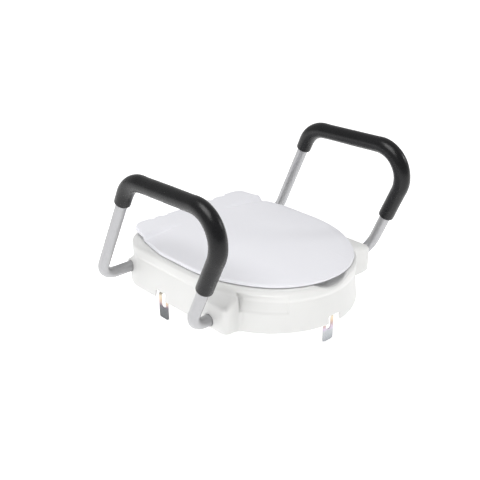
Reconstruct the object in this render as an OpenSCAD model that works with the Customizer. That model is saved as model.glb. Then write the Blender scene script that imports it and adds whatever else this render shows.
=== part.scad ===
// Raised toilet seat with a hinged lid, lift-off padded armrests and bowl clamps.
// Millimetres, Z up, X right, -Y towards the front, origin under the middle at the clamp tips.

/* [Seat] */
// height of the seat ring above the clamp tips
seat_z = 131; // [110:1:160]
// height of the lower edge of the outer wall
skirt_z = 44.5; // [40:0.5:60]
// radius of the front of the lid outline
front_r = 154; // [140:1:170]
// half width of the opening through the ring
opening_r = 102; // [90:1:110]
// depth of the dip across the front of the ring
dip_depth = 14; // [8:1:24]

/* [Lid] */
// height of the lid edge above the clamp tips
lid_edge_z = 142; // [136:0.5:150]
// radius of the crown across the lid
crown_r = 2300; // [1500:50:4000]

/* [Armrests] */
// radius of the bent steel tube
tube_r = 11; // [9:0.5:14]
// wall of the steel tube
tube_wall = 1.5; // [1:0.25:3]
// radius of the foam grip
grip_r = 15.25; // [13:0.25:20]
// distance of the lower tube corner from the middle
arm_x = 244; // [230:1:260]
// distance of the upper tube corner from the middle
arm_top_x = 236.5; // [225:0.5:255]
// height of the tube in its sockets
socket_z = 73; // [65:1:85]
// position of the rear socket
rear_leg_y = 180; // [160:1:190]
// position of the front socket
front_leg_y = -93.5; // [-110:0.5:-80]
// radius of the upper bends
top_bend_r = 58; // [40:1:70]
// radius of the lower bends
low_bend_r = 38; // [30:1:45]

/* [Clamps] */
// width of a clamp bracket
clamp_w = 27; // [20:1:35]
// thickness of a clamp bracket
clamp_t = 2; // [1.5:0.25:4]
// width of the slot in a clamp bracket
clamp_slot = 13; // [8:0.5:16]

/* [Hidden] */
$fn = 64;
front_y = -56;
side_r = 242;
side_x = -70.4;
side_y = -3.2;
corner_r = 75;
corner_x = 96.6;
corner_y = 134.2;
rear_y = 209.2;
open_front_y = -36;
open_rear_y = 26;
dip_r = 78;
hinge_y = 196;
hinge_z = 141;
strip_y = 147;
strip_z = 150;
crown_top = 149.5;
fit = 0.05;
socket_in = 116;
front_mouth = 198;
slot_z = 24;
rear_mouth = 168;
pin_r = 3;
screw_r = 3;
bracket_z = 52.5;

body_col = [0.93, 0.93, 0.91];
lid_col = [0.92, 0.92, 0.95];
tube_col = [0.74, 0.75, 0.78];
foam_col = [0.09, 0.09, 0.1];
zinc_col = [0.62, 0.6, 0.52];
black_col = [0.1, 0.1, 0.1];
knob_col = [0.16, 0.16, 0.17];

pads = [[145, -20], [145, 105], [56, -176]];
buffers = [[128, -88], [138, 62]];
knobs = [[134, front_leg_y], [134, rear_leg_y]];

// corners of the right armrest, from the rear socket round to the front one
arm_pts = [
  [128, rear_leg_y, socket_z],
  [arm_x, rear_leg_y, socket_z],
  [arm_top_x, 71, 303],
  [arm_top_x, -201.6, 311],
  [arm_x, front_leg_y, socket_z],
  [128, front_leg_y, socket_z]
];
bend_r = [0, low_bend_r, top_bend_r, top_bend_r, low_bend_r, 0];

function unit(v) = v / norm(v);
function bend_angle(a, b) = acos(a * b);

// ---- outline of the seat, grown by d ----

module front_wedge() {
  polygon([[0, front_y], [-240, -236], [240, -236]]);
}

module side_wedge() {
  polygon([[side_x, side_y], [0, front_y], [240, -236], [240, side_y]]);
}

module outline_half(d) {
  intersection() {
    translate([side_x, side_y]) circle(r = side_r + d);
    side_wedge();
  }
  translate([0, side_y]) square([corner_x + corner_r + d, corner_y - side_y]);
  intersection() {
    translate([corner_x, corner_y]) circle(r = corner_r + d);
    translate([corner_x, corner_y]) square(200);
  }
}

module outline(d) {
  intersection() {
    translate([0, front_y]) circle(r = front_r + d);
    front_wedge();
  }
  outline_half(d);
  mirror([1, 0, 0]) outline_half(d);
  translate([-corner_x, 0]) square([2 * corner_x, rear_y + d]);
}

// ---- a profile carried round that outline ----

module slab_wedge(high) {
  translate([0, 0, -50])
  linear_extrude(height = high)
  children();
}

module side_run() {
  intersection() {
    translate([side_x, side_y, 0])
    rotate([0, 0, -90])
    rotate_extrude(angle = 180)
    translate([side_r, 0])
    children();
    slab_wedge(300) side_wedge();
  }
  translate([0, corner_y, 0])
  rotate([90, 0, 0])
  linear_extrude(height = corner_y - side_y)
  translate([corner_x + corner_r, 0])
  children();
  translate([corner_x, corner_y, 0])
  rotate_extrude(angle = 90)
  translate([corner_r, 0])
  children();
}

module front_run() {
  intersection() {
    translate([0, front_y, 0])
    rotate_extrude()
    translate([front_r, 0])
    children();
    slab_wedge(300) front_wedge();
  }
}

module ring_run() {
  front_run() children();
  side_run() children();
  mirror([1, 0, 0]) side_run() children();
  translate([-corner_x, rear_y, 0])
  rotate([90, 0, 90])
  linear_extrude(height = 2 * corner_x)
  children();
}

// ---- opening through the ring ----

module opening(d) {
  translate([0, open_front_y]) circle(r = opening_r + d);
  translate([0, open_rear_y]) circle(r = opening_r + d);
  translate([-opening_r - d, open_front_y]) square([2 * (opening_r + d), open_rear_y - open_front_y]);
}

module opening_end(y, a) {
  translate([0, y, 0])
  rotate([0, 0, a])
  rotate_extrude(angle = 180)
  translate([opening_r, 0])
  children();
}

module opening_side() {
  translate([0, open_rear_y, 0])
  rotate([90, 0, 0])
  linear_extrude(height = open_rear_y - open_front_y)
  translate([opening_r, 0])
  children();
}

module opening_run() {
  opening_end(open_rear_y, 0) children();
  opening_end(open_front_y, 180) children();
  opening_side() children();
  mirror([1, 0, 0]) opening_side() children();
}

// ---- seat body ----

module wall_profile() {
  polygon([
    [5.5, skirt_z], [9, skirt_z], [3.5, seat_z - 24], [6, seat_z - 20], [6, seat_z - 4],
    [2.5, seat_z], [-8, seat_z], [-8, seat_z - 6], [0, seat_z - 6]
  ]);
}

module skirt_profile() {
  polygon([
    [0, 30], [3.5, 30], [3.5, seat_z - 6], [8, seat_z - 6], [8, seat_z], [3, seat_z], [0, seat_z - 3]
  ]);
}

module ring_plate() {
  translate([0, 0, seat_z - 6])
  linear_extrude(height = 6)
  difference() {
    outline(-8);
    opening(8);
  }
}

module under_space(low, high) {
  translate([0, 0, low])
  linear_extrude(height = high - low)
  difference() {
    outline(1);
    opening(2);
  }
}

module rib(x, y, a) {
  translate([x, y, 98])
  rotate([0, 0, a])
  translate([-60, -1.5, 0])
  cube([120, 3, 29]);
}

module ribs_half() {
  rib(130, 30, 0);
  rib(130, -56, 8);
  rib(128, 128, 30);
  rib(84, 165, 62);
  rib(95, -140, -50);
}

module columns_half() {
  for (p = pads) {
    translate([p[0], p[1], 47.5]) cylinder(r = 12, h = 80);
  }
  translate([148, 69, 53.2]) cylinder(r = 9, h = 73);
}

module boss_plan(d) {
  polygon([[110, -106.6 + 1.07 * d], [186, -134.6 + 1.07 * d], [186, -64 - d], [110, -64 - d]]);
  translate([110, -123]) square([88 - d, 47]);
  translate([186, -123]) circle(r = 12 - d);
  translate([186, -76]) circle(r = 12 - d);
}

module boss_side(d) {
  polygon([
    [150, 40], [158, skirt_z], [front_mouth + 1, 57.5], [front_mouth + 1, 112 - d], [150, 118 - d]
  ]);
}

module front_boss(d) {
  intersection() {
    translate([0, 0, 20]) linear_extrude(height = 110) boss_plan(d);
    translate([0, 0, 0]) rotate([90, 0, 0]) linear_extrude(height = 200) boss_side(d);
  }
}

module boss_shell() {
  difference() {
    front_boss(0);
    front_boss(3.5);
  }
}

module sockets_half(r, over) {
  translate([socket_in - 0, front_leg_y, socket_z])
  rotate([0, 90, 0])
  cylinder(r = r, h = front_mouth - socket_in + over);
  translate([socket_in, rear_leg_y, socket_z])
  rotate([0, 90, 0])
  cylinder(r = r, h = rear_mouth - socket_in + over);
}

module screw_posts() {
  for (p = knobs) {
    translate([p[0], p[1], 56]) cylinder(r = 7, h = 10);
    translate([p[0] - 1.5, p[1] - 10, 84]) cube([3, 20, 43]);
  }
}

module screw_holes() {
  for (p = knobs) {
    translate([p[0], p[1], 50]) cylinder(r = screw_r + 0.1, h = 23);
  }
}

module hinge_lugs() {
  for (x = [60, 88]) {
    translate([x, hinge_y - 5.5, 126]) cube([12, 11, hinge_z - 126]);
    translate([x, hinge_y, hinge_z]) rotate([0, 90, 0]) cylinder(r = 5.5, h = 12);
  }
}

module hinge_bores() {
  translate([50, hinge_y, hinge_z]) rotate([0, 90, 0]) cylinder(r = pin_r + fit, h = 60);
}

module dip_cut() {
  translate([0, -100, seat_z - dip_depth + dip_r])
  rotate([90, 0, 0])
  cylinder(r = dip_r, h = 140);
}

module dip_liner() {
  intersection() {
    difference() {
      translate([0, -100, seat_z - dip_depth + dip_r])
      rotate([90, 0, 0])
      cylinder(r = dip_r + 5, h = 140);
      dip_cut();
    }
    under_space(100, seat_z - 1);
  }
}

module hand_hollow() {
  slab = front_r + 4;
  translate([0, 0, 84])
  linear_extrude(height = 24)
  intersection() {
    difference() {
      translate([0, front_y]) circle(r = slab + 20);
      translate([0, front_y]) circle(r = slab - 3);
    }
    polygon([[0, front_y], [110, -250], [236, -250]]);
  }
}

module hollow_back() {
  translate([0, 0, 80])
  linear_extrude(height = 30)
  intersection() {
    difference() {
      translate([0, front_y]) circle(r = front_r + 3);
      translate([0, front_y]) circle(r = front_r - 3);
    }
    polygon([[0, front_y], [104, -250], [240, -246]]);
  }
}

module wall_notches() {
  translate([-14.3, -226, 40]) cube([28.6, 24, 20]);
  translate([164, 54.7, 40]) cube([30, 28.6, 20]);
  mirror([1, 0, 0]) translate([164, 54.7, 40]) cube([30, 28.6, 20]);
}

module bolt_bores() {
  translate([0, -176, 44]) cylinder(r = screw_r + 0.1, h = 26);
  translate([148, 69, 44]) cylinder(r = screw_r + 0.1, h = 26);
  translate([-148, 69, 44]) cylinder(r = screw_r + 0.1, h = 26);
}

module half_adds() {
  intersection() {
    union() {
      ribs_half();
      columns_half();
    }
    under_space(44, seat_z - 3);
  }
  boss_shell();
  sockets_half(14.5, 0);
  screw_posts();
  hinge_lugs();
  hollow_back();
}

module half_cuts() {
  sockets_half(tube_r + fit, 5);
  screw_holes();
  hinge_bores();
  hand_hollow();
}

module seat_body() {
  color(body_col)
  difference() {
    union() {
      ring_run() wall_profile();
      opening_run() skirt_profile();
      ring_plate();
      dip_liner();
      half_adds();
      mirror([1, 0, 0]) half_adds();
      translate([0, -176, 53.2]) cylinder(r = 9, h = 66);
    }
    dip_cut();
    half_cuts();
    mirror([1, 0, 0]) half_cuts();
    wall_notches();
    bolt_bores();
  }
}

module hinge_pin() {
  translate([59, hinge_y, hinge_z]) rotate([0, 90, 0]) cylinder(r = pin_r, h = 42);
  translate([57.5, hinge_y, hinge_z]) rotate([0, 90, 0]) cylinder(r = 4.6, h = 2);
}

module hinge_pins() {
  color(tube_col) {
    hinge_pin();
    mirror([1, 0, 0]) hinge_pin();
  }
}

module pad_set() {
  for (p = pads) {
    translate([p[0], p[1], 44]) cylinder(r = 11, h = 3.5);
  }
}

module rim_pads() {
  color(black_col) {
    pad_set();
    mirror([1, 0, 0]) pad_set();
  }
}

// ---- lid ----

module crown_face(r) {
  intersection() {
    translate([0, crown_top - crown_r]) circle(r = r, $fn = 2400);
    translate([0, 120]) square([290, 60]);
  }
}

module crown(low, inset) {
  r = crown_r - inset;
  intersection() {
    translate([0, 0, low]) linear_extrude(height = 40) lid_plan(-inset, strip_y + 1 - inset);
    union() {
      intersection() {
        rotate_extrude() crown_face(r);
        translate([-300, -300, 100]) cube([600, 300, 80]);
      }
      rotate([90, 0, 180]) linear_extrude(height = 200) crown_face(r);
      mirror([1, 0, 0]) rotate([90, 0, 180]) linear_extrude(height = 200) crown_face(r);
    }
  }
}

module lid_plan(d, back) {
  intersection() {
    outline(d);
    polygon([
      [-200, -260], [200, -260], [200, 70], [172 + d, 75], [158 + d, back],
      [-158 - d, back], [-172 - d, 75], [-200, 70]
    ]);
  }
}

module strip_plan(d) {
  polygon([
    [-158 - d, strip_y], [158 + d, strip_y], [143 + d, 198], [139 + d, 201.5 + d],
    [-139 - d, 201.5 + d], [-143 - d, 198]
  ]);
}

module strip() {
  translate([0, 0, hinge_z]) linear_extrude(height = strip_z - hinge_z) strip_plan(0);
}

module buffer_posts() {
  for (p = buffers) {
    translate([p[0], p[1], 134.5]) cylinder(r = 7, h = 9);
  }
}

module barrel() {
  translate([72.4, hinge_y, hinge_z]) rotate([0, 90, 0]) cylinder(r = 5.5, h = 15.2);
}

module lug_pocket(x0, x1) {
  translate([x0, hinge_y, hinge_z]) rotate([0, 90, 0]) cylinder(r = 6.4, h = x1 - x0);
  translate([x0, hinge_y, hinge_z - 2]) cube([x1 - x0, 10, 14]);
}

module lug_pockets() {
  lug_pocket(56.6, 72.4);
  lug_pocket(87.6, 101.8);
}

module strip_hollow() {
  translate([0, 0, hinge_z - 1])
  linear_extrude(height = 6.5)
  polygon([[-150, strip_y + 5], [150, strip_y + 5], [142, 185], [-142, 185]]);
}

module lid() {
  color(lid_col)
  difference() {
    union() {
      difference() {
        crown(134.5, 0);
        crown(130, 4);
      }
      strip();
      buffer_posts();
      mirror([1, 0, 0]) buffer_posts();
      barrel();
      mirror([1, 0, 0]) barrel();
    }
    strip_hollow();
    hinge_bores();
    mirror([1, 0, 0]) hinge_bores();
    lug_pockets();
    mirror([1, 0, 0]) lug_pockets();
  }
}

module lid_buffer_set() {
  for (p = buffers) {
    translate([p[0], p[1], seat_z + 0.4]) cylinder(r = 5.5, h = 3.1);
  }
}

module lid_buffers() {
  color(black_col) {
    lid_buffer_set();
    mirror([1, 0, 0]) lid_buffer_set();
  }
}

// ---- armrests ----

module straight(a, b, r) {
  d = unit(b - a);
  x = abs(d[2]) > 0.9 ? unit(cross([0, 1, 0], d)) : unit(cross([0, 0, 1], d));
  y = cross(d, x);
  multmatrix([
    [x[0], y[0], d[0], a[0]], [x[1], y[1], d[1], a[1]], [x[2], y[2], d[2], a[2]], [0, 0, 0, 1]
  ])
  cylinder(r = r, h = norm(b - a));
}

// the bends are 0.1 larger and reach 2 degrees past the tangent so the joins are clean
module bend(p, d1, d2, big, r, past) {
  q = bend_angle(d1, d2);
  t = big * tan(q / 2);
  n = unit(d2 - (d1 * d2) * d1);
  c = p - t * d1 + big * n;
  x = -n;
  y = d1;
  z = cross(x, y);
  multmatrix([
    [x[0], y[0], z[0], c[0]], [x[1], y[1], z[1], c[1]], [x[2], y[2], z[2], c[2]], [0, 0, 0, 1]
  ])
  rotate([0, 0, -past])
  rotate_extrude(angle = q + 2 * past)
  translate([big, 0])
  circle(r = r);
}

function arm_dir(i) = unit(arm_pts[i + 1] - arm_pts[i]);
function arm_tan(i) = (i == 0 || i == 5) ? 0 : bend_r[i] * tan(bend_angle(arm_dir(i - 1), arm_dir(i)) / 2);
function arm_on(i, s) = arm_pts[i] + s * (arm_pts[i + 1] - arm_pts[i]);

module arm_bends(first, last, r) {
  for (i = [first : last]) {
    bend(arm_pts[i], arm_dir(i - 1), arm_dir(i), bend_r[i], r, 2);
  }
}

module arm_run(i, r) {
  straight(arm_pts[i] + arm_tan(i) * arm_dir(i), arm_pts[i + 1] - arm_tan(i + 1) * arm_dir(i), r);
}

module arm_path(r, over) {
  straight(arm_pts[0] - over * arm_dir(0), arm_pts[1] - arm_tan(1) * arm_dir(0), r);
  for (i = [1 : 3]) {
    arm_run(i, r);
  }
  straight(arm_pts[4] + arm_tan(4) * arm_dir(4), arm_pts[5] + over * arm_dir(4), r);
  arm_bends(1, 4, r + 0.1);
}

module arm_tube() {
  difference() {
    arm_path(tube_r, 0);
    arm_path(tube_r - tube_wall, 3);
  }
}

module grip_solid(r, over) {
  straight(arm_on(1, 0.78) - over * arm_dir(1), arm_pts[2] - arm_tan(2) * arm_dir(1), r);
  arm_run(2, r);
  straight(arm_pts[3] + arm_tan(3) * arm_dir(3), arm_on(3, 0.62) + over * arm_dir(3), r);
  arm_bends(2, 3, r + 0.1);
}

module arm_grip() {
  difference() {
    grip_solid(grip_r, 0);
    grip_solid(tube_r + 0.04, 3);
  }
}

module plug(y) {
  translate([125.5, y, socket_z]) rotate([0, 90, 0]) cylinder(r = tube_r - 0.2, h = 2.5);
  translate([127, y, socket_z]) rotate([0, 90, 0]) cylinder(r = tube_r - tube_wall - 0.02, h = 14);
}

module plugs() {
  plug(rear_leg_y);
  plug(front_leg_y);
}

module armrest_tube_right() {
  color(tube_col) arm_tube();
}

module armrest_tube_left() {
  color(tube_col) mirror([1, 0, 0]) arm_tube();
}

module armrest_grip_right() {
  color(foam_col) arm_grip();
}

module armrest_grip_left() {
  color(foam_col) mirror([1, 0, 0]) arm_grip();
}

module tube_plugs_right() {
  color(black_col) plugs();
}

module tube_plugs_left() {
  color(black_col) mirror([1, 0, 0]) plugs();
}

// ---- thumb screws under the sockets ----

module lock_knob(x, y) {
  translate([x, y, 0])
  color(knob_col)
  difference() {
    union() {
      translate([0, 0, 52]) cylinder(r = screw_r, h = 9.7);
      translate([0, 0, 46.5]) cylinder(r = 11, h = 7.5);
    }
    for (a = [0 : 60 : 300]) {
      rotate([0, 0, a]) translate([12.5, 0, 45]) cylinder(r = 3.4, h = 12);
    }
  }
}

module lock_knob_front_right() {
  lock_knob(134, front_leg_y);
}

module lock_knob_front_left() {
  lock_knob(-134, front_leg_y);
}

module lock_knob_rear_right() {
  lock_knob(134, rear_leg_y);
}

module lock_knob_rear_left() {
  lock_knob(-134, rear_leg_y);
}

// ---- bowl clamps, drawn for the front and turned for the sides ----

module bracket() {
  color(zinc_col)
  difference() {
    union() {
      translate([-clamp_w / 2, -203, 3]) cube([clamp_w, clamp_t, bracket_z - 3]);
      translate([-clamp_w / 2 + 3, -203, 0]) cube([clamp_w - 6, clamp_t, 10]);
      for (x = [-clamp_w / 2 + 3, clamp_w / 2 - 3]) {
        translate([x, -203, 3]) rotate([-90, 0, 0]) cylinder(r = 3, h = clamp_t);
      }
      translate([-clamp_w / 2, -203, bracket_z - clamp_t]) cube([clamp_w, 48, clamp_t]);
    }
    translate([-clamp_slot / 2, -206, slot_z + clamp_slot / 2]) cube([clamp_slot, 8, 34]);
    translate([0, -206, slot_z + clamp_slot / 2]) rotate([-90, 0, 0]) cylinder(r = clamp_slot / 2, h = 8);
    translate([-clamp_slot / 2, -206, 48]) cube([clamp_slot, 38, 10]);
    translate([0, -168, 48]) cylinder(r = clamp_slot / 2, h = 10);
  }
}

module grip_pad() {
  color(black_col)
  translate([-10, -201, 2])
  cube([20, 3, 14]);
}

module nut() {
  color(zinc_col)
  difference() {
    translate([0, -176, 44.2]) cylinder(r = 5.77, h = 4.9, $fn = 6);
    translate([0, -176, 43]) cylinder(r = screw_r + fit, h = 8);
  }
}

module to_right() {
  translate([-28, 69, 0])
  rotate([0, 0, 90])
  children();
}

module to_left() {
  mirror([1, 0, 0]) to_right() children();
}

module bolt() {
  translate([0, -176, 44.4]) cylinder(r = screw_r, h = 25);
}

module washer() {
  difference() {
    translate([0, -176, 49.2]) cylinder(r = 9, h = 1.2);
    translate([0, -176, 48]) cylinder(r = screw_r + 0.2, h = 4);
  }
}

module clamp_bolts() {
  color(zinc_col) {
    bolt();
    to_right() bolt();
    to_left() bolt();
  }
}

module clamp_washers() {
  color(zinc_col) {
    washer();
    to_right() washer();
    to_left() washer();
  }
}

module clamp_bracket_front() {
  bracket();
}

module clamp_bracket_right() {
  to_right() bracket();
}

module clamp_bracket_left() {
  to_left() bracket();
}

module clamp_pad_front() {
  grip_pad();
}

module clamp_pad_right() {
  to_right() grip_pad();
}

module clamp_pad_left() {
  to_left() grip_pad();
}

module clamp_nut_front() {
  nut();
}

module clamp_nut_right() {
  to_right() nut();
}

module clamp_nut_left() {
  to_left() nut();
}

seat_body();
hinge_pins();
rim_pads();
clamp_bolts();
clamp_washers();
lid();
lid_buffers();
armrest_tube_left();
armrest_tube_right();
armrest_grip_left();
armrest_grip_right();
tube_plugs_left();
tube_plugs_right();
lock_knob_front_left();
lock_knob_front_right();
lock_knob_rear_left();
lock_knob_rear_right();
clamp_bracket_front();
clamp_bracket_left();
clamp_bracket_right();
clamp_pad_front();
clamp_pad_left();
clamp_pad_right();
clamp_nut_front();
clamp_nut_left();
clamp_nut_right();
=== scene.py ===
import math

import bpy
import numpy as np
from mathutils import Matrix, Vector


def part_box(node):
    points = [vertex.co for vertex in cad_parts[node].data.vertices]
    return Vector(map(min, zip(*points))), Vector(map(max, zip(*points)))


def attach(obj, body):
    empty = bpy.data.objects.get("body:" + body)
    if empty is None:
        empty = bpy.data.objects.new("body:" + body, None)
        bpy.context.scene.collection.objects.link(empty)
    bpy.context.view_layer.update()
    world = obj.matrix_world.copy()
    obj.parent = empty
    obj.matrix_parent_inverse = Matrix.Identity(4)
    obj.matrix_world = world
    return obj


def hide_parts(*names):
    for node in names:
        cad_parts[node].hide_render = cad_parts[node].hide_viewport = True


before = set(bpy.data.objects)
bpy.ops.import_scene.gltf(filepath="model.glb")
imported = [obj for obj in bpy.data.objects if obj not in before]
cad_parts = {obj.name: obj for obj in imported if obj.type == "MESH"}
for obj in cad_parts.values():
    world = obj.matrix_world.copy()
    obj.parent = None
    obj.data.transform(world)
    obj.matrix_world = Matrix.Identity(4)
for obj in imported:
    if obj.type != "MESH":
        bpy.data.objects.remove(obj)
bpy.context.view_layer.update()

MM = 0.001

# ---------------------------------------------------------------- sizes, in millimetres, as in the CAD source
SEAT_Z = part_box("seat_body")[1].z / MM - 15.5          # top of the ring; the hinge lugs stand 15.5 above it
WALL_Z = 44.5                                          # lower edge of the outer wall
SKIRT_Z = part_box("seat_body")[0].z / MM                # lower edge of the splash skirt
FRONT_R, FRONT_Y = 154.0, -56.0                        # front arc of the outline
SIDE_R, SIDE_X, SIDE_Y = 242.0, -70.4, -3.2            # side arc
CORNER_R, CORNER_X, CORNER_Y = 75.0, 96.6, 134.2       # rear corner arc
REAR_Y = CORNER_Y + CORNER_R
OPEN_R, OPEN_FRONT, OPEN_REAR = 102.0, -36.0, 26.0     # opening through the ring
DIP_R, DIP_DEPTH = 78.0, 14.0                         # dip across the front of the ring
SOCKET_Z, REAR_LEG, FRONT_LEG = 73.0, 180.0, -93.5     # armrest sockets
SOCKET_IN, FRONT_MOUTH, REAR_MOUTH = 116.0, 198.0, 168.0
TUBE_R, GRIP_R = 11.0, 15.25
GRIP_BORE = TUBE_R + 0.06
HINGE_Y, HINGE_Z = 196.0, 141.0
LID_LOW, LID_TOP, STRIP_Y, STRIP_Z, CROWN_R = 134.5, 149.5, 147.0, 150.0, 2300.0
ARM = np.array([
    (128.0, REAR_LEG, SOCKET_Z), (244.0, REAR_LEG, SOCKET_Z), (236.5, 71.0, 303.0),
    (236.5, -201.6, 311.0), (244.0, FRONT_LEG, SOCKET_Z), (128.0, FRONT_LEG, SOCKET_Z)])
ARM_BENDS = (0.0, 38.0, 58.0, 58.0, 38.0, 0.0)
PADS = ((145.0, -20.0), (145.0, 105.0), (56.0, -176.0))
BUFFERS = ((128.0, -88.0), (138.0, 62.0))
KNOBS = ((134.0, FRONT_LEG), (134.0, REAR_LEG))
SIDE_CLAMP = (148.0, 69.0)                             # bolt axes of the clamps, in plan
FRONT_CLAMP = (0.0, -176.0)
LUGS = (66.0, 94.0)                                    # hinge lugs on the body, in |x|
PIN_SPAN = (50.0, 110.0)
SHELL = 3.6                                            # wall thickness of the moulded body
SOCKET_R, BORE_R, SCREW_R = 14.5, TUBE_R + 0.15, 3.2
RIBS = ((130, 30, 0), (130, -56, 8), (128, 128, 30), (84, 165, 62), (95, -140, -50))   # x, y, turn in degrees
FAR = 50.0                                             # a distance that stands for "nowhere near"


# ---------------------------------------------------------------- implicit shapes
def smin(a, b, k):
    h = np.clip(0.5 + 0.5 * (b - a) / k, 0.0, 1.0)
    return b * (1 - h) + a * h - k * h * (1 - h)


def smax(a, b, k):
    return -smin(-a, -b, k)


def ramp(v, a, b):
    t = np.clip((v - a) / (b - a), 0.0, 1.0)
    return t * t * (3 - 2 * t)


def outline(x, y):
    """Distance outside the seat's plan outline."""
    ax = np.abs(x)
    front = np.hypot(ax, y - FRONT_Y) - FRONT_R
    side = np.hypot(ax - SIDE_X, y - SIDE_Y) - SIDE_R
    flank = np.maximum(ax - CORNER_X - CORNER_R, y - REAR_Y)
    corner = np.hypot(ax - CORNER_X, y - CORNER_Y) - CORNER_R
    out = np.where((y > CORNER_Y) & (ax > CORNER_X), corner, flank)
    out = np.where(y < SIDE_Y, side, out)
    return np.where(y < FRONT_Y - 0.75 * ax, front, out)


def opening(x, y):
    """Distance outside the opening through the ring."""
    return np.hypot(x, y - np.clip(y, OPEN_FRONT, OPEN_REAR)) - OPEN_R


def box_at(x, y, z, centre, half, r):
    """Rounded box."""
    qx = np.abs(x - centre[0]) - (half[0] - r)
    qy = np.abs(y - centre[1]) - (half[1] - r)
    qz = np.abs(z - centre[2]) - (half[2] - r)
    out = np.sqrt(np.maximum(qx, 0) ** 2 + np.maximum(qy, 0) ** 2 + np.maximum(qz, 0) ** 2)
    return out + np.minimum(np.maximum(np.maximum(qx, qy), qz), 0) - r


def rod_x(x, y, z, cy, cz, x0, x1, r, k=1.0):
    return smax(np.hypot(y - cy, z - cz) - r, np.maximum(x0 - x, x - x1), k)


def rod_z(x, y, z, cx, cy, z0, z1, r, k=1.0):
    return smax(np.hypot(x - cx, y - cy) - r, np.maximum(z0 - z, z - z1), k)


def wall_offset(x, z):
    """How far the outer wall stands outside the outline: flared to its foot and most at the sides, bead on top."""
    side = ramp(np.abs(x), 70.0, 165.0)
    fall = np.clip((107.0 - z) / 62.5, 0.0, 1.0)
    bead = (1.7 + 0.9 * side) * ramp(z, 103.0, 112.0)
    return 3.5 + (4.5 + 4.0 * side) * fall ** 1.2 + bead


def boss(x, y, z):
    """The blocky front socket boss, right side in |x|."""
    low = 44.5 + (x - 158.0) * (57.5 - 44.5) / 41.0
    front = (-106.6 - y - (x - 110.0) * 28.0 / 76.0) * 0.938
    block = smax(smax(x - FRONT_MOUTH, y + 64.0, 12.0), front, 14.0)
    top = z - 113.5 + (x - 150.0) * 0.06
    return smax(smax(block, top, 9.0), low - z, 5.0)


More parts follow.
